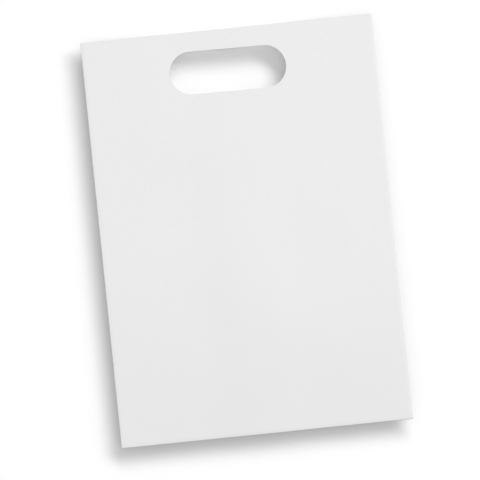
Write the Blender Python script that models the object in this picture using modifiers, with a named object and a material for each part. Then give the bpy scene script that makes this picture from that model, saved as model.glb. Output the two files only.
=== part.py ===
"""Flat paper carrier bag with a die-cut hand slot, lying on its back panel.

One rectangular paper blank is folded into a tube, lapped and glued down the middle of the back, and
its bottom end is turned up over the back and glued. A stadium slot is then cut through both walls.
The result is a single folded sheet, so the bag is one solid.

Metres, +Z up. X runs across the bag, Y from the bottom fold to the mouth, and Z out of the front
panel. The origin is the middle of the footprint, on the table.
"""

import math

import bmesh
import bpy
from mathutils import Matrix

MM = 0.001

# Finished size
BAG_WIDTH = 255.0 * MM
BAG_HEIGHT = 355.0 * MM

# Paper
PAPER = 0.20 * MM
PLY_GAP = 0.10 * MM

# Hand slot. The punch came down a little left of the centre line, and a little turned
SLOT_LENGTH = 101.5 * MM
SLOT_HEIGHT = 37.0 * MM
SLOT_MARGIN = 17.5 * MM
SLOT_DRIFT = -2.0 * MM
SLOT_TURN = math.radians(-0.8)

# Back seam: two plies overlap by the lap, and the inner one steps up over the joggle
LAP = 15.0 * MM
JOGGLE = 4.0 * MM
LAP_GLUE_INSET = 3.0 * MM

# Bottom turn-up
FLAP = 22.0 * MM
FLAP_GLUE_INSET = 4.0 * MM

# How the relaxed bag lies: its folds stand off the table, and the back sags down to it
FOLD_LIFT = 7.5 * MM
FRONT_CROWN = 0.6 * MM
REST_HALF_WIDTH = 35.0 * MM
BACK_RISE = 90.0 * MM
FRONT_RISE = 120.0 * MM
LAP_RELIEF = 40.0 * MM

# Facets
WALL_STEPS = 9
REST_STEPS = 2
JOGGLE_STEPS = 4
FOLD_STEPS = 6
FLAP_STEPS = 4
RISE_STEPS = 8
UPPER_STEPS = 3
SLOT_END_STEPS = 16

PAPER_COLOUR = (0.83, 0.83, 0.83, 1.0)
PAPER_ROUGHNESS = 0.75

# Every level below is a mid-surface height above the mid-surface of the back wall's outer ply
PLY_PITCH = PAPER + PLY_GAP
FOLD_RADIUS = PLY_PITCH / 2
WALL_HALF_WIDTH = BAG_WIDTH / 2 - FOLD_RADIUS - PAPER / 2
MOUTH_Y = BAG_HEIGHT / 2

# Three plies go round the bottom fold at the lap: the outer and inner back plies and the front one
BOTTOM_FOLD_RADIUS = FOLD_RADIUS + 2 * PLY_PITCH + PAPER / 2
CREASE_Y = BOTTOM_FOLD_RADIUS - BAG_HEIGHT / 2
FLAP_REACH = FLAP - BOTTOM_FOLD_RADIUS

# Glue film reaches the mid-surface of each ply that it joins
GLUE_FILM = PLY_PITCH


def smooth_step(share):
    """0 to 1 with level ends."""
    share = min(max(share, 0.0), 1.0)
    return share * share * (3 - 2 * share)


def spread(start, end, steps):
    """Evenly spaced values from start up to, but not including, end."""
    return [start + (end - start) * i / steps for i in range(steps)]


def between(points):
    """The points midway between neighbours."""
    return [tuple((a + b) / 2 for a, b in zip(p, q)) for p, q in zip(points, points[1:])]


def back_height(x, reach):
    """Height of the back wall's outer ply: flat on the table in the middle, up at the folds."""
    across = max(abs(x) - REST_HALF_WIDTH, 0.0) / (WALL_HALF_WIDTH - REST_HALF_WIDTH)
    down = max(BACK_RISE - reach, 0.0) / BACK_RISE
    sag = (1 - min(across, 1.0) ** 2) * (1 - down**2)
    return PAPER / 2 + FOLD_LIFT * (1 - sag)


def front_height(x, reach):
    """Height of the front wall, less its plies' own pitch: a shallow crown over the fold line."""
    down = max(FRONT_RISE - reach, 0.0) / FRONT_RISE
    crown = (1 - (x / WALL_HALF_WIDTH) ** 2) * (1 - down**2)
    return PAPER / 2 + FOLD_LIFT + FRONT_CROWN * crown


def inner_level(x):
    """The back's inner ply rides on the outer one over the lap, and steps down to the left of it."""
    return PLY_PITCH * (1 - smooth_step((-LAP / 2 - x) / JOGGLE))


def front_level(x):
    """The front ply rides one pitch over the back, and eases up one more over the lap."""
    return PLY_PITCH * (2 - smooth_step((abs(x) - LAP / 2) / LAP_RELIEF))


def wall_lines():
    """Lines down every ply from the left fold to the right one, so that nested plies share facets."""
    lap_edge = LAP / 2
    left = spread(-WALL_HALF_WIDTH, -REST_HALF_WIDTH, WALL_STEPS)
    left_rest = spread(-REST_HALF_WIDTH, -lap_edge - JOGGLE, REST_STEPS)
    joggle = spread(-lap_edge - JOGGLE, -lap_edge, JOGGLE_STEPS)
    right_rest = spread(lap_edge, REST_HALF_WIDTH, REST_STEPS)
    right = spread(REST_HALF_WIDTH, WALL_HALF_WIDTH, WALL_STEPS)
    return left + left_rest + joggle + [-lap_edge] + right_rest + right + [WALL_HALF_WIDTH]


def side_fold(side):
    """Stations round one side fold, from its back wall to its front wall."""
    angles = spread(0.0, math.pi, FOLD_STEPS)[1:]
    return [
        (side * (WALL_HALF_WIDTH + FOLD_RADIUS * math.sin(a)), FOLD_RADIUS * (1 - math.cos(a)), 0.0)
        for a in angles
    ]


def tube_section():
    """Stations round the flattened tube, as (x, level, opened), from lap edge to lap edge.

    Opened is 1 on the front wall, which stands off the back one, and 0 elsewhere. The path starts
    at the inner ply's cut edge, steps down over the joggle to the left half of the back, rounds the
    left fold, crosses the front, rounds the right fold and ends at the outer ply's cut edge.
    """
    lines = wall_lines()
    inner_back = [(x, inner_level(x), 0.0) for x in reversed(lines) if x <= LAP / 2]
    front = [(x, front_level(x), 1.0) for x in lines]
    outer_back = [(x, 0.0, 0.0) for x in reversed(lines) if x >= -LAP / 2]
    return inner_back + side_fold(-1) + front + side_fold(1)[::-1] + outer_back


def blank_rows():
    """Rows along the blank from the flap's cut edge to the mouth, as (reach, turn).

    Reach is the distance from the bottom fold along a wall, and turn the angle round that fold:
    half a turn on the flap, none on the body.
    """
    rise = max(BACK_RISE, FRONT_RISE)
    mouth = MOUTH_Y - CREASE_Y
    flap_rows = [(reach, math.pi) for reach in spread(FLAP_REACH, 0.0, FLAP_STEPS)]
    fold_rows = [(0.0, turn) for turn in spread(math.pi, 0.0, FOLD_STEPS)]
    over_flap = [(reach, 0.0) for reach in spread(0.0, FLAP_REACH, FLAP_STEPS)]
    rise_rows = [(reach, 0.0) for reach in spread(FLAP_REACH, rise, RISE_STEPS)]
    upper_rows = [(reach, 0.0) for reach in spread(rise, mouth, UPPER_STEPS)]
    return flap_rows + fold_rows + over_flap + rise_rows + upper_rows + [(mouth, 0.0)]


def folded_place(station, row):
    """Where one point of the blank lies once the tube is folded, turned up and relaxed."""
    x, level, opened = station
    reach, turn = row
    radius = FOLD_RADIUS + level
    height = back_height(x, reach)
    if turn == 0.0:
        height += opened * (front_height(x, reach) - height)
    y = CREASE_Y + reach - radius * math.sin(turn)
    z = height - FOLD_RADIUS + radius * math.cos(turn)
    return x, y, z


def folded_sheet(name, stations, rows, thickness, collection):
    """A flat grid of paper, folded point by point and given its thickness."""
    mesh = bpy.data.meshes.new(name)
    bm = bmesh.new()
    across, along = len(stations) - 1, len(rows) - 1
    bmesh.ops.create_grid(bm, x_segments=across, y_segments=along, size=0.5)
    for vert in bm.verts:
        column = round((0.5 - vert.co.x) * across)
        line = round((vert.co.y + 0.5) * along)
        vert.co = folded_place(stations[column], rows[line])
    bm.to_mesh(mesh)
    bm.free()
    sheet = bpy.data.objects.new(name, mesh)
    collection.objects.link(sheet)
    wall = sheet.modifiers.new("wall", "SOLIDIFY")
    wall.thickness = thickness
    wall.offset = 0.0
    wall.use_even_offset = True
    return sheet


def make_lap_glue(collection):
    """Glue film between the two plies of the back seam, from the flap to the mouth."""
    half = LAP / 2 - LAP_GLUE_INSET
    stations = [(x, PLY_PITCH / 2, 0.0) for x in (-half, half)]
    first = (FLAP_REACH - LAP_GLUE_INSET, math.pi)
    last = (MOUTH_Y - CREASE_Y - LAP_GLUE_INSET, 0.0)
    rows = [first] + between(blank_rows())[1:-1] + [last]
    return folded_sheet("lap_glue", stations, rows, GLUE_FILM, collection)


def make_flap_glue(collection):
    """Glue film between the turned-up flap and the back wall."""
    stations = between([(x, -FOLD_RADIUS, 0.0) for x in wall_lines()])
    over_flap = [(reach, 0.0) for reach in spread(0.0, FLAP_REACH, FLAP_STEPS)]
    first, last = (FLAP_GLUE_INSET, 0.0), (FLAP_REACH - FLAP_GLUE_INSET, 0.0)
    rows = [first] + between(over_flap)[1:] + [last]
    return folded_sheet("flap_glue", stations, rows, GLUE_FILM, collection)


def make_slot_cutter(collection):
    """Stadium-shaped die through both walls below the mouth: a cylinder whose halves stand apart."""
    end_radius = SLOT_HEIGHT / 2
    half_straight = SLOT_LENGTH / 2 - end_radius
    centre_y = MOUTH_Y - SLOT_MARGIN - end_radius
    centre_z = (FOLD_LIFT + FRONT_CROWN) / 2
    segments = 2 * SLOT_END_STEPS
    half_segment = math.pi / segments
    corner_radius = end_radius / math.cos(half_segment)
    bm = bmesh.new()
    bmesh.ops.create_cone(
        bm,
        segments=segments,
        radius1=corner_radius,
        radius2=corner_radius,
        depth=4 * centre_z + 4 * PLY_PITCH,
        cap_ends=True,
        matrix=Matrix.Rotation(half_segment, 4, "Z"),
    )
    for vert in bm.verts:
        vert.co.x += math.copysign(half_straight, vert.co.x)
    mesh = bpy.data.meshes.new("slot_die")
    bm.to_mesh(mesh)
    bm.free()
    die = bpy.data.objects.new("slot_die", mesh)
    die.location = (SLOT_DRIFT, centre_y, centre_z)
    die.rotation_euler.z = SLOT_TURN
    collection.objects.link(die)


def add_boolean(target, operation, collection):
    """Joins every piece of the collection to the target, or cuts them away, and hides them."""
    modifier = target.modifiers.new(collection.name, "BOOLEAN")
    modifier.operation = operation
    modifier.solver = "EXACT"
    modifier.operand_type = "COLLECTION"
    modifier.collection = collection
    for helper in collection.objects:
        helper.hide_render = True
        helper.display_type = "WIRE"


def white_kraft():
    """Plain uncoated white kraft."""
    material = bpy.data.materials.new("white_kraft")
    material.use_nodes = True
    shader = material.node_tree.nodes["Principled BSDF"]
    shader.inputs["Base Color"].default_value = PAPER_COLOUR
    shader.inputs["Roughness"].default_value = PAPER_ROUGHNESS
    shader.inputs["Metallic"].default_value = 0.0
    return material


def new_collection(name):
    """A collection linked into the scene."""
    collection = bpy.data.collections.new(name)
    bpy.context.scene.collection.children.link(collection)
    return collection


def main():
    """Builds the bag."""
    for old in list(bpy.data.objects):
        bpy.data.objects.remove(old)
    parts = new_collection("die_cut_paper_bag")
    glue = new_collection("glue_films")
    cutters = new_collection("cutters")

    bag = folded_sheet("bag", tube_section(), blank_rows(), PAPER, parts)
    bag.data.materials.append(white_kraft())
    make_lap_glue(glue)
    make_flap_glue(glue)
    add_boolean(bag, "UNION", glue)
    make_slot_cutter(cutters)
    add_boolean(bag, "DIFFERENCE", cutters)


main()
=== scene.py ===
"""Looks of a flat paper carrier bag with a die-cut hand slot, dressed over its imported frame.

The bag is one blank of white kraft, folded into a lapped tube, turned up and glued at the bottom,
and punched through both walls. It is remade here as one fine folded sheet on the frame's solid,
with the slow cockle that paper keeps, its cut edges and its glue. Metres, +Z up.
"""

import logging
import math
from dataclasses import dataclass, field
from enum import Enum
from typing import Any, NamedTuple

import bmesh
import bpy
from mathutils import Euler, Matrix, Vector, noise


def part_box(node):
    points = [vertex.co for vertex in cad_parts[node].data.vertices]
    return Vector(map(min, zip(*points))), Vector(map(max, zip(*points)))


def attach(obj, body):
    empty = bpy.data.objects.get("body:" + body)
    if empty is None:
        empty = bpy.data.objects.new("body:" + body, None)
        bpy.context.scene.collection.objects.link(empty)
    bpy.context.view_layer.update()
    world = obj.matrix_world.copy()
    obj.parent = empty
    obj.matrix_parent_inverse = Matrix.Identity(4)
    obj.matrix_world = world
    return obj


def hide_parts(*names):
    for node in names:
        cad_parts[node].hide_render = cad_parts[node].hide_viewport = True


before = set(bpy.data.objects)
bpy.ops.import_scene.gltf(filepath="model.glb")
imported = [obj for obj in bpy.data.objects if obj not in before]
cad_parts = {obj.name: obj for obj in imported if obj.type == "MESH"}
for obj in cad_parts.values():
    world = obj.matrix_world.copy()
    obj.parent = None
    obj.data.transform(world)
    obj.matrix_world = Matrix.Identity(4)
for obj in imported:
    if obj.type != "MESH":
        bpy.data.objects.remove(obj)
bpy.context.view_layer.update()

BAG_NODE = "bag"
BODY = "root"
MM = 0.001
WHITE = (1.0, 1.0, 1.0, 1.0)
SHARP_ANGLE = math.radians(50)

log = logging.getLogger("paper_bag")


def linear(hex_colour: str) -> tuple[float, float, float, float]:
    """Turns an sRGB hex colour to the linear values that shaders take.

    Args:
        hex_colour: Six hex digits after a hash sign.

    Returns:
        Linear red, green, blue and an alpha of 1.
    """
    shares = [int(hex_colour[i : i + 2], 16) / 255 for i in (1, 3, 5)]
    red, green, blue = (s / 12.92 if s <= 0.04045 else ((s + 0.055) / 1.055) ** 2.4 for s in shares)
    return red, green, blue, 1.0


def smooth_step(share: float) -> float:
    """Returns a share from 0 to 1 with level ends."""
    share = min(max(share, 0.0), 1.0)
    return share * share * (3 - 2 * share)


def evenly(start: float, end: float, step: float) -> list[float]:
    """Places values evenly from start up to, but not including, end.

    Args:
        start: The first value.
        end: The value that the next stretch starts with.
        step: The widest gap between two values.

    Returns:
        The values in order.
    """
    count = max(1, math.ceil(abs(end - start) / step))
    return [start + (end - start) * i / count for i in range(count)]


def add_node(
    tree: bpy.types.NodeTree,
    kind: str,
    inputs: dict[str | int, Any] | None = None,
    **settings: Any,
) -> bpy.types.Node:
    """Adds a shader node, sets it and links it.

    Args:
        tree: The node tree that takes the node.
        kind: The node's type, such as ShaderNodeMapping.
        inputs: Socket names or numbers, each with a value or with the output that feeds it.
        settings: The node's own properties.

    Returns:
        The new node.
    """
    node = tree.nodes.new(kind)
    for name, value in settings.items():
        setattr(node, name, value)
    for name, value in (inputs or {}).items():
        if isinstance(value, bpy.types.NodeSocket):
            tree.links.new(value, node.inputs[name])
        else:
            node.inputs[name].default_value = value
    return node


class Ply(Enum):
    """The wall that a stretch of the blank ends up in. The value is its share of the opening."""

    BACK = 0.0
    FRONT = 1.0


class Station(NamedTuple):
    """A place across the blank: where it lies over the flattened tube, and on which wall."""

    x: float
    level: float
    ply: Ply


class Row(NamedTuple):
    """A place along the blank: how far from the bottom fold, and the angle turned round it."""

    reach: float
    turn: float


@dataclass(frozen=True)
class Cockle:
    """The slow waves that a sheet keeps from its web and from handling."""

    height: float
    length: float
    seed: float

    def at(self, x: float, y: float) -> float:
        """Returns the wave's height over the flat sheet at a place on the bag."""
        return self.height * noise.noise(Vector((x / self.length, y / self.length, self.seed)))


@dataclass(frozen=True)
class BagPattern:
    """The sizes of the folded bag, and the rule that folds its blank."""

    width: float
    height: float
    depth: float
    paper: float = 0.20 * MM
    ply_gap: float = 0.10 * MM
    lap: float = 15.0 * MM
    joggle: float = 4.0 * MM
    flap: float = 22.0 * MM
    fold_lift: float = 7.5 * MM
    rest_half_width: float = 35.0 * MM
    back_rise: float = 90.0 * MM
    front_rise: float = 120.0 * MM
    lap_relief: float = 40.0 * MM
    cockle_room: float = 0.15 * MM
    front_cockle: Cockle = Cockle(0.45 * MM, 75.0 * MM, 3.7)
    back_cockle: Cockle = Cockle(0.60 * MM, 60.0 * MM, 8.2)

    @property
    def pitch(self) -> float:
        """The rise from one ply's mid-surface to the next."""
        return self.paper + self.ply_gap

    @property
    def fold_radius(self) -> float:
        """The mid-surface radius of a sharp fold."""
        return self.pitch / 2

    @property
    def crown(self) -> float:
        """How far the front wall's middle stands over its folds, less what its cockle adds."""
        return self.depth - self.fold_lift - 2 * self.pitch - self.paper - self.cockle_room

    @property
    def wall_half_width(self) -> float:
        """Half of the flat width between the two side folds."""
        return self.width / 2 - self.fold_radius - self.paper / 2

    @property
    def mouth_y(self) -> float:
        """The cut edge of the mouth."""
        return self.height / 2

    @property
    def bottom_fold_radius(self) -> float:
        """The radius to the outside of the bottom fold, where three plies nest at the lap."""
        return self.fold_radius + 2 * self.pitch + self.paper / 2

    @property
    def crease_y(self) -> float:
        """The axis of the bottom fold."""
        return self.bottom_fold_radius - self.height / 2

    @property
    def flap_reach(self) -> float:
        """The distance from the bottom fold's axis to the flap's cut edge."""
        return self.flap - self.bottom_fold_radius

    @property
    def mouth_reach(self) -> float:
        """The distance from the bottom fold's axis to the mouth."""
        return self.mouth_y - self.crease_y

    def back_height(self, x: float, reach: float) -> float:
        """Gives the back wall's height: flat on the table in the middle, up at the folds.

        Args:
            x: Distance from the centre line.
            reach: Distance from the bottom fold.

        Returns:
            Height of the outer ply's mid-surface over the table.
        """
        across = (abs(x) - self.rest_half_width) / (self.wall_half_width - self.rest_half_width)
        across = min(max(across, 0.0), 1.0)
        down = max(self.back_rise - reach, 0.0) / self.back_rise
        lifted = 1 - (1 - across**2) * (1 - down**2)
        # The cockle is full halfway up, and dies away at the folds and where the wall rests
        wave = self.back_cockle.at(x, reach) * 4 * lifted * (1 - lifted)
        return self.paper / 2 + self.fold_lift * lifted + wave

    def front_height(self, x: float, reach: float) -> float:
        """Gives the front wall's height, less its plies' pitch: a shallow crown over the folds.

        Args:
            x: Distance from the centre line.
            reach: Distance from the bottom fold.

        Returns:
            Height over the table.
        """
        down = max(self.front_rise - reach, 0.0) / self.front_rise
        risen = (1 - (x / self.wall_half_width) ** 2) * (1 - down**2)
        wave = self.front_cockle.at(x, reach) * risen
        return self.paper / 2 + self.fold_lift + self.crown * risen + wave

    def inner_level(self, x: float) -> float:
        """Returns how far the back's inner ply rides over the outer one, past the seam's step."""
        return self.pitch * (1 - smooth_step((-self.lap / 2 - x) / self.joggle))

    def front_level(self, x: float) -> float:
        """Returns how far the front ply rides over the back, easing up one more over the lap."""
        return self.pitch * (2 - smooth_step((abs(x) - self.lap / 2) / self.lap_relief))

    def place(self, station: Station, row: Row) -> Vector:
        """Folds one point of the blank.

        Args:
            station: Its place across the blank.
            row: Its place along the blank.

        Returns:
            Where it lies on the folded and relaxed bag.
        """
        radius = self.fold_radius + station.level
        height = self.back_height(station.x, row.reach)
        if row.turn == 0.0:
            opening = self.front_height(station.x, row.reach) - height
            height += station.ply.value * opening
        y = self.crease_y + row.reach - radius * math.sin(row.turn)
        z = height - self.fold_radius + radius * math.cos(row.turn)
        return Vector((station.x, y, z))


def folded_sheet(
    name: str,
    pattern: BagPattern,
    stations: list[Station],
    rows: list[Row],
    thickness: float,
) -> bpy.types.Object:
    """Folds a flat grid of sheet point by point and gives it its thickness.

    Args:
        name: The piece's name.
        pattern: The rule that folds it.
        stations: Places across the blank.
        rows: Places along the blank.
        thickness: The sheet's thickness.

    Returns:
        The piece, with its cut edges in its second material slot.
    """
    across, along = len(stations) - 1, len(rows) - 1
    bm = bmesh.new()
    bmesh.ops.create_grid(bm, x_segments=across, y_segments=along, size=0.5)
    for vert in bm.verts:
        station = stations[round((0.5 - vert.co.x) * across)]
        row = rows[round((vert.co.y + 0.5) * along)]
        vert.co = pattern.place(station, row)
    mesh = bpy.data.meshes.new(name)
    bm.to_mesh(mesh)
    bm.free()
    piece = bpy.data.objects.new(name, mesh)
    bpy.context.scene.collection.objects.link(piece)
    wall = piece.modifiers.new("wall", "SOLIDIFY")
    wall.thickness = thickness
    wall.offset = 0.0
    wall.use_even_offset = True
    wall.material_offset_rim = 1
    return piece


def settle(piece: bpy.types.Object) -> None:
    """Applies a piece's modifiers and shades it smooth up to its sharp edges.

    Args:
        piece: The piece whose mesh is replaced by its evaluated one.
    """
    graph = bpy.context.evaluated_depsgraph_get()
    mesh = bpy.data.meshes.new_from_object(piece.evaluated_get(graph))
    piece.modifiers.clear()
    piece.data = mesh
    mesh.name = piece.name
    mesh.shade_smooth()
    mesh.set_sharp_from_angle(angle=SHARP_ANGLE)


@dataclass(frozen=True)
class PaperFinish:
    """White kraft paper, made on a wire, pressed and machine-finished, with no coating.

    The eye gets an even, matte, neutral white with a soft tooth. Fibres gather in flocs a few
    millimetres across, which cloud the sheet very faintly, and they lie mostly along the web.
    """

    name: str = "white_kraft_paper"
    tone: str = "#EBEBEB"
    floc_tone: str = "#E7E7E7"
    # Painted shade: the grey that the lower part of the bag is painted towards, in place of light
    # falling off
    painted_shade_tone: str = "#E6E6E6"
    floc: float = 4.5 * MM
    floc_detail: float = 3.0
    floc_roughness: float = 0.55
    # Painted shade: how far below the middle that painted grey comes in
    painted_shade_ramp: float = 160.0 * MM
    fibre: float = 0.7 * MM
    fibre_stretch: float = 3.0
    fibre_detail: float = 4.0
    fibre_roughness: float = 0.6
    tooth: float = 0.02 * MM
    roughness: float = 0.82
    ior: float = 1.47

    def material(self) -> bpy.types.Material:
        """Builds the paper's material.

        Returns:
            A material in object coordinates, with pattern scales worked out from real sizes.
        """
        made = bpy.data.materials.new(self.name)
        made.use_nodes = True
        tree = made.node_tree
        shader = tree.nodes["Principled BSDF"]
        place = add_node(tree, "ShaderNodeTexCoord").outputs["Object"]
        flocs = add_node(
            tree,
            "ShaderNodeTexNoise",
            {
                "Vector": place,
                "Scale": 1 / self.floc,
                "Detail": self.floc_detail,
                "Roughness": self.floc_roughness,
            },
        )
        cloud = add_node(
            tree,
            "ShaderNodeMix",
            {"Factor": flocs.outputs["Fac"], "A": linear(self.tone), "B": linear(self.floc_tone)},
            data_type="RGBA",
        )
        # Painted shade: the colour turns a shade greyer from the middle towards the bottom fold,
        # standing in for light that falls off there
        along = add_node(tree, "ShaderNodeSeparateXYZ", {"Vector": place})
        painted_shade_ramp = add_node(
            tree,
            "ShaderNodeMapRange",
            {"Value": along.outputs["Y"], "From Min": 0.0, "From Max": -self.painted_shade_ramp},
            interpolation_type="SMOOTHSTEP",
        )
        tone = add_node(
            tree,
            "ShaderNodeMix",
            {
                "Factor": painted_shade_ramp.outputs["Result"],
                "A": cloud.outputs["Result"],
                "B": linear(self.painted_shade_tone),
            },
            data_type="RGBA",
        )
        # Fibres are a twentieth of this width, and are drawn as coarse as they need to show
        along_web = add_node(
            tree,
            "ShaderNodeMapping",
            {"Vector": place, "Scale": (1.0, 1 / self.fibre_stretch, 1.0)},
        )
        fibres = add_node(
            tree,
            "ShaderNodeTexNoise",
            {
                "Vector": along_web.outputs["Vector"],
                "Scale": 1 / self.fibre,
                "Detail": self.fibre_detail,
                "Roughness": self.fibre_roughness,
            },
        )
        tooth = add_node(
            tree,
            "ShaderNodeBump",
            {"Strength": 1.0, "Distance": self.tooth, "Height": fibres.outputs["Fac"]},
        )
        tree.links.new(tone.outputs["Result"], shader.inputs["Base Color"])
        tree.links.new(tooth.outputs["Normal"], shader.inputs["Normal"])
        shader.inputs["Roughness"].default_value = self.roughness
        shader.inputs["IOR"].default_value = self.ior
        return made


@dataclass(frozen=True)
class CutEdgeFinish:
    """The raw edge of die-cut kraft: torn fibre ends, a little brighter and duller than the face."""

    name: str = "cut_paper_edge"
    tone: str = "#F0F0EE"
    gap_tone: str = "#DEDEDC"
    layer: float = 0.05 * MM
    layer_detail: float = 2.0
    roughness: float = 0.95

    def material(self) -> bpy.types.Material:
        """Builds the cut edge's material, in thin layers through the paper.

        Returns:
            A material in object coordinates.
        """
        made = bpy.data.materials.new(self.name)
        made.use_nodes = True
        tree = made.node_tree
        shader = tree.nodes["Principled BSDF"]
        place = add_node(tree, "ShaderNodeTexCoord").outputs["Object"]
        layers = add_node(
            tree,
            "ShaderNodeTexNoise",
            {"Vector": place, "Scale": 1 / self.layer, "Detail": self.layer_detail},
        )
        tone = add_node(
            tree,
            "ShaderNodeMix",
            {"Factor": layers.outputs["Fac"], "A": linear(self.tone), "B": linear(self.gap_tone)},
            data_type="RGBA",
        )
        tree.links.new(tone.outputs["Result"], shader.inputs["Base Color"])
        shader.inputs["Roughness"].default_value = self.roughness
        return made


@dataclass(frozen=True)
class GlueFinish:
    """Dried PVA bag glue: a thin clear film, a little warmer and glossier than the paper."""

    name: str = "dried_pva_glue"
    tone: str = "#EDE9DC"
    least_roughness: float = 0.25
    most_roughness: float = 0.55
    ior: float = 1.46
    bead: float = 3.0 * MM
    bead_detail: float = 2.0

    def material(self) -> bpy.types.Material:
        """Builds the glue's material, with a gloss that varies where the film dried uneven.

        Returns:
            A material in object coordinates.
        """
        made = bpy.data.materials.new(self.name)
        made.use_nodes = True
        tree = made.node_tree
        shader = tree.nodes["Principled BSDF"]
        place = add_node(tree, "ShaderNodeTexCoord").outputs["Object"]
        beads = add_node(
            tree,
            "ShaderNodeTexNoise",
            {"Vector": place, "Scale": 1 / self.bead, "Detail": self.bead_detail},
        )
        gloss = add_node(
            tree,
            "ShaderNodeMapRange",
            {
                "Value": beads.outputs["Fac"],
                "To Min": self.least_roughness,
                "To Max": self.most_roughness,
            },
        )
        tree.links.new(gloss.outputs["Result"], shader.inputs["Roughness"])
        shader.inputs["Base Color"].default_value = linear(self.tone)
        shader.inputs["IOR"].default_value = self.ior
        return made


@dataclass(frozen=True)
class HandSlot:
    """The stadium-shaped slot that one die punches through both walls.

    The margin is the paper left over it, and the drift and turn are the punch's play. The die's
    reach is its own length in depths of the bag.
    """

    pattern: BagPattern
    length: float = 101.5 * MM
    height: float = 37.0 * MM
    margin: float = 17.5 * MM
    drift: float = -2.0 * MM
    turn: float = math.radians(-0.8)
    end_segments: int = 48
    die_reach: float = 4.0

    def die(self) -> bpy.types.Object:
        """Builds the die: a cylinder whose two halves stand apart.

        Returns:
            A closed cutter whose faces take the second material slot of what it cuts.
        """
        end_radius = self.height / 2
        half_straight = self.length / 2 - end_radius
        segments = 2 * self.end_segments
        half_segment = math.pi / segments
        corner_radius = end_radius / math.cos(half_segment)
        bm = bmesh.new()
        bmesh.ops.create_cone(
            bm,
            segments=segments,
            radius1=corner_radius,
            radius2=corner_radius,
            depth=self.die_reach * self.pattern.depth,
            cap_ends=True,
            matrix=Matrix.Rotation(half_segment, 4, "Z"),
        )
        for vert in bm.verts:
            vert.co.x += math.copysign(half_straight, vert.co.x)
        for face in bm.faces:
            face.material_index = 1
        mesh = bpy.data.meshes.new("slot_die")
        bm.to_mesh(mesh)
        bm.free()
        die = bpy.data.objects.new("slot_die", mesh)
        die.location = (self.drift, self.pattern.mouth_y - self.margin - end_radius, 0.0)
        die.rotation_euler.z = self.turn
        bpy.context.scene.collection.objects.link(die)
        return die

    def cut(self, *pieces: bpy.types.Object) -> None:
        """Punches the slot through each piece, settles it and clears the die away.

        Args:
            pieces: Pieces that the die goes through.
        """
        die = self.die()
        for piece in pieces:
            punch = piece.modifiers.new("hand_slot", "BOOLEAN")
            punch.operation = "DIFFERENCE"
            punch.solver = "EXACT"
            punch.object = die
            settle(piece)
        bpy.data.objects.remove(die)


@dataclass(frozen=True)
class FoldedBag:
    """The bag's one sheet, from its lap seam round the two side folds and the bottom fold."""

    pattern: BagPattern
    wall_step: float = 3.5 * MM
    joggle_step: float = 0.5 * MM
    fold_steps: int = 10
    paper: PaperFinish = field(default_factory=PaperFinish)
    cut_edge: CutEdgeFinish = field(default_factory=CutEdgeFinish)

    def wall_lines(self) -> list[float]:
        """Returns the lines down every ply, from the left fold to the right one."""
        p = self.pattern
        lap_edge = p.lap / 2
        left = evenly(-p.wall_half_width, -lap_edge - p.joggle, self.wall_step)
        joggle = evenly(-lap_edge - p.joggle, -lap_edge, self.joggle_step)
        lap = evenly(-lap_edge, lap_edge, self.wall_step)
        right = evenly(lap_edge, p.wall_half_width, self.wall_step)
        return left + joggle + lap + right + [p.wall_half_width]

    def side_fold(self, side: int) -> list[Station]:
        """Rounds one side fold.

        Args:
            side: -1 for the left fold, 1 for the right one.

        Returns:
            Stations from the back wall to the front wall.
        """
        p = self.pattern
        angles = [math.pi * i / self.fold_steps for i in range(1, self.fold_steps)]
        return [
            Station(
                side * (p.wall_half_width + p.fold_radius * math.sin(angle)),
                p.fold_radius * (1 - math.cos(angle)),
                Ply.BACK,
            )
            for angle in angles
        ]

    def stations(self) -> list[Station]:
        """Returns the path round the tube, from the lap's inner cut edge to its outer one."""
        p = self.pattern
        lines = self.wall_lines()
        inner = [Station(x, p.inner_level(x), Ply.BACK) for x in reversed(lines) if x <= p.lap / 2]
        front = [Station(x, p.front_level(x), Ply.FRONT) for x in lines]
        outer = [Station(x, 0.0, Ply.BACK) for x in reversed(lines) if x >= -p.lap / 2]
        return inner + self.side_fold(-1) + front + self.side_fold(1)[::-1] + outer

    def rows(self) -> list[Row]:
        """Returns the rows from the flap's cut edge, round the bottom fold, to the mouth."""
        p = self.pattern
        flap = [Row(reach, math.pi) for reach in evenly(p.flap_reach, 0.0, self.wall_step)]
        turns = [math.pi * (1 - i / self.fold_steps) for i in range(self.fold_steps)]
        fold = [Row(0.0, turn) for turn in turns]
        body = [Row(reach, 0.0) for reach in evenly(0.0, p.mouth_reach, self.wall_step)]
        return flap + fold + body + [Row(p.mouth_reach, 0.0)]

    def build(self) -> bpy.types.Object:
        """Builds and dresses the sheet, before the slot is punched.

        Returns:
            The bag, still with its wall modifier.
        """
        bag = folded_sheet(
            "folded_bag", self.pattern, self.stations(), self.rows(), self.pattern.paper
        )
        bag.data.materials.append(self.paper.material())
        bag.data.materials.append(self.cut_edge.material())
        return bag


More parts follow.
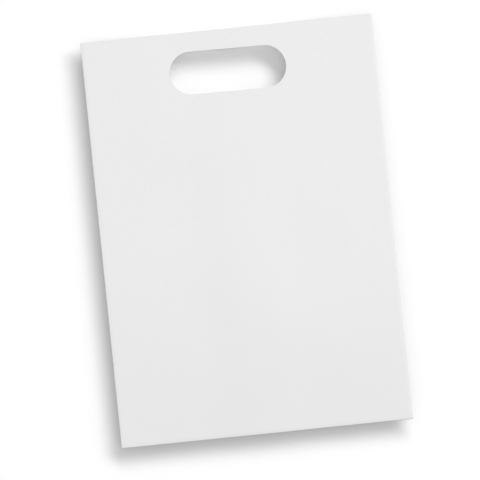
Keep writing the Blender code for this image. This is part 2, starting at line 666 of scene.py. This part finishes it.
@dataclass(frozen=True)
class GlueFilms:
    """The two dried films that hold the bag: down the lap seam and under the turned-up flap."""

    bag: FoldedBag
    film: float = 0.06 * MM
    seam_inset: float = 3.0 * MM
    flap_inset: float = 4.0 * MM
    glue: GlueFinish = field(default_factory=GlueFinish)

    def seam(self) -> bpy.types.Object:
        """Builds the film between the back seam's two plies.

        Returns:
            The film, before the slot is punched.
        """
        p = self.bag.pattern
        half = p.lap / 2 - self.seam_inset
        xs = evenly(-half, half, self.bag.wall_step) + [half]
        stations = [Station(x, p.pitch / 2, Ply.BACK) for x in xs]
        return self.dressed("seam_glue", stations, self.bag.rows()[1:-1])

    def flap(self) -> bpy.types.Object:
        """Builds the film between the turned-up flap and the back wall.

        Returns:
            The film.
        """
        p = self.bag.pattern
        limit = p.wall_half_width - self.flap_inset
        stations = [
            Station(x, -p.fold_radius, Ply.BACK) for x in self.bag.wall_lines() if abs(x) < limit
        ]
        first, last = self.flap_inset, p.flap_reach - self.flap_inset
        reaches = evenly(first, last, self.bag.wall_step) + [last]
        return self.dressed("flap_glue", stations, [Row(reach, 0.0) for reach in reaches])

    def dressed(self, name: str, stations: list[Station], rows: list[Row]) -> bpy.types.Object:
        """Makes one film and gives it its finish.

        Args:
            name: The film's name.
            stations: Places across the blank.
            rows: Places along the blank.

        Returns:
            The film.
        """
        film = folded_sheet(name, self.bag.pattern, stations, rows, self.film)
        made = bpy.data.materials.get(self.glue.name) or self.glue.material()
        film.data.materials.append(made)
        film.data.materials.append(made)
        return film


@dataclass(frozen=True)
class StripBox:
    """A long, low softbox that faces the bag from one side, and lights it in a soft slant.

    Its breadth and rise are the angles that it fills as seen from the bag, in degrees. Its level
    is what it adds to a level white surface there. It stands far enough off that its light barely
    falls away across the bag.
    """

    azimuth: float = 49.6
    elevation: float = 25.5
    breadth: float = 64.0
    rise: float = 13.0
    level: float = 0.43
    distance: float = 20.0

    def build(self) -> bpy.types.Object:
        """Builds the softbox.

        Returns:
            An area lamp that faces the origin.
        """
        half_breadth, half_rise = math.radians(self.breadth / 2), math.radians(self.rise / 2)
        light = bpy.data.lights.new("strip_box", "AREA")
        light.shape = "RECTANGLE"
        light.size = 2 * self.distance * math.tan(half_breadth)
        light.size_y = 2 * self.distance * math.tan(half_rise)
        # The box's ends stand farther off and face away, so a wide one gives less for its power
        slant = math.sin(half_breadth) * math.cos(half_breadth) + half_breadth
        share = slant / (2 * math.tan(half_breadth)) * math.sin(math.radians(self.elevation))
        light.energy = math.pi**2 * self.level * self.distance**2 / share
        box = bpy.data.objects.new("strip_box", light)
        turned = Euler((math.radians(90 - self.elevation), 0.0, math.radians(self.azimuth + 90)))
        aim = turned.to_matrix().to_4x4()
        box.matrix_world = aim @ Matrix.Translation((0.0, 0.0, self.distance))
        box.visible_camera = False
        bpy.context.scene.collection.objects.link(box)
        return box


@dataclass(frozen=True)
class Overhead:
    """A weak lamp straight above the bag, whose breadth is the angle that it fills, in degrees.

    Its level is what it adds to a level white surface.
    """

    breadth: float = 4.0
    level: float = 0.2

    def build(self) -> bpy.types.Object:
        """Builds the lamp.

        Returns:
            A sun lamp that shines straight down.
        """
        light = bpy.data.lights.new("overhead", "SUN")
        light.angle = math.radians(self.breadth)
        light.energy = math.pi * self.level
        lamp = bpy.data.objects.new("overhead", light)
        bpy.context.scene.collection.objects.link(lamp)
        return lamp


@dataclass(frozen=True)
class Studio:
    """A pale sweep under one long soft key light, a weak overhead lamp and a white room."""

    strip_box: StripBox = field(default_factory=StripBox)
    overhead: Overhead = field(default_factory=Overhead)
    room_level: float = 0.385
    floor_size: float = 12.0
    floor_drop: float = 0.2 * MM
    floor_tone: str = "#FFFFFF"
    bounce_tone: str = "#A0A0A0"

    def build(self) -> None:
        """Builds the floor, the lamps and the room."""
        self.build_floor()
        self.strip_box.build()
        self.overhead.build()
        self.build_room()

    def build_floor(self) -> bpy.types.Object:
        """Builds the floor, a hair under the bag so that the two don't share a plane.

        Returns:
            The floor.
        """
        bm = bmesh.new()
        bmesh.ops.create_grid(bm, x_segments=1, y_segments=1, size=self.floor_size / 2)
        bmesh.ops.translate(bm, verts=bm.verts, vec=(0.0, 0.0, -self.floor_drop))
        mesh = bpy.data.meshes.new("floor")
        bm.to_mesh(mesh)
        bm.free()
        floor = bpy.data.objects.new("floor", mesh)
        bpy.context.scene.collection.objects.link(floor)
        floor.data.materials.append(self.sweep())
        return floor

    def sweep(self) -> bpy.types.Material:
        """Builds the floor's matte paper: white to the camera, and grey to the light it throws back.

        Returns:
            A material that keeps the bag's shadow.
        """
        made = bpy.data.materials.new("matte_white_sweep")
        made.use_nodes = True
        tree = made.node_tree
        tree.nodes.clear()
        rays = add_node(tree, "ShaderNodeLightPath")
        thrown = add_node(tree, "ShaderNodeBsdfDiffuse", {"Color": linear(self.bounce_tone)})
        shown = add_node(tree, "ShaderNodeBsdfDiffuse", {"Color": linear(self.floor_tone)})
        surface = add_node(
            tree,
            "ShaderNodeMixShader",
            {0: rays.outputs["Is Camera Ray"], 1: thrown.outputs["BSDF"], 2: shown.outputs["BSDF"]},
        )
        add_node(tree, "ShaderNodeOutputMaterial", {"Surface": surface.outputs["Shader"]})
        return made

    def build_room(self) -> None:
        """Builds a room that lights softly, and shows plain white to the camera and in gloss."""
        world = bpy.data.worlds.new("white_room")
        world.use_nodes = True
        tree = world.node_tree
        tree.nodes.clear()
        rays = add_node(tree, "ShaderNodeLightPath")
        camera_or_gloss = add_node(
            tree,
            "ShaderNodeMath",
            {0: rays.outputs["Is Camera Ray"], 1: rays.outputs["Is Glossy Ray"]},
            operation="MAXIMUM",
        )
        seen = add_node(
            tree,
            "ShaderNodeMath",
            {0: camera_or_gloss.outputs["Value"], 1: rays.outputs["Is Transmission Ray"]},
            operation="MAXIMUM",
        )
        lit = add_node(tree, "ShaderNodeBackground", {"Strength": self.room_level})
        shown = add_node(tree, "ShaderNodeBackground", {"Strength": 1.0})
        for background in (lit, shown):
            background.inputs["Color"].default_value = WHITE
        room = add_node(
            tree,
            "ShaderNodeMixShader",
            {
                0: seen.outputs["Value"],
                1: lit.outputs["Background"],
                2: shown.outputs["Background"],
            },
        )
        add_node(tree, "ShaderNodeOutputWorld", {"Surface": room.outputs["Shader"]})
        bpy.context.scene.world = world


@dataclass(frozen=True)
class LongLens:
    """A long lens almost straight above the bag, rolled as the photograph is.

    It frames a square of frame_width at the target's height, with the bag's centre off its own by
    the two offsets, and stands distance_per_frame of those widths away. Its angles are in degrees.
    """

    target_height: float = 7.7 * MM
    tilt: float = 0.5
    roll: float = 5.85
    frame_width: float = 417.75 * MM
    offset_x: float = 5.9 * MM
    offset_y: float = 7.6 * MM
    distance_per_frame: float = 40.0
    sensor_mm: float = 36.0
    clip_end: float = 100.0

    def build(self) -> bpy.types.Object:
        """Builds the camera and makes it the scene's.

        Returns:
            The camera.
        """
        data = bpy.data.cameras.new("above")
        data.sensor_fit = "HORIZONTAL"
        data.sensor_width = self.sensor_mm
        data.lens = self.distance_per_frame * self.sensor_mm
        data.clip_end = self.clip_end
        camera = bpy.data.objects.new("above", data)
        bpy.context.scene.collection.objects.link(camera)
        rolled = Matrix.Rotation(math.radians(self.roll), 4, "Z")
        turned = rolled @ Matrix.Rotation(math.radians(self.tilt), 4, "X")
        distance = self.distance_per_frame * self.frame_width
        stand = Matrix.Translation((-self.offset_x, -self.offset_y, distance))
        target = Matrix.Translation((0.0, 0.0, self.target_height))
        camera.matrix_world = target @ turned.inverted() @ stand
        bpy.context.scene.camera = camera
        return camera


def build_bag() -> None:
    """Builds the folded sheet and its glue on the frame's solid, and hands them to the frame."""
    low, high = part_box(BAG_NODE)
    size = high - low
    pattern = BagPattern(width=size.x, height=size.y, depth=size.z)
    folded = FoldedBag(pattern)
    films = GlueFilms(folded)
    bag = folded.build()
    seam_glue = films.seam()
    flap_glue = films.flap()
    HandSlot(pattern).cut(bag, seam_glue)
    settle(flap_glue)
    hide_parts(BAG_NODE)
    for piece in (bag, seam_glue, flap_glue):
        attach(piece, BODY)
        log.info("%s: %d faces", piece.name, len(piece.data.polygons))


def main() -> None:
    """Builds the studio, the camera and the bag, in order."""
    logging.basicConfig(level=logging.INFO, format="%(name)s: %(message)s")
    scene = bpy.context.scene
    scene.view_settings.view_transform = "Standard"
    Studio().build()
    log.info("studio built")
    build_bag()
    LongLens().build()
    log.info("camera set")


if __name__ == "__main__":
    main()
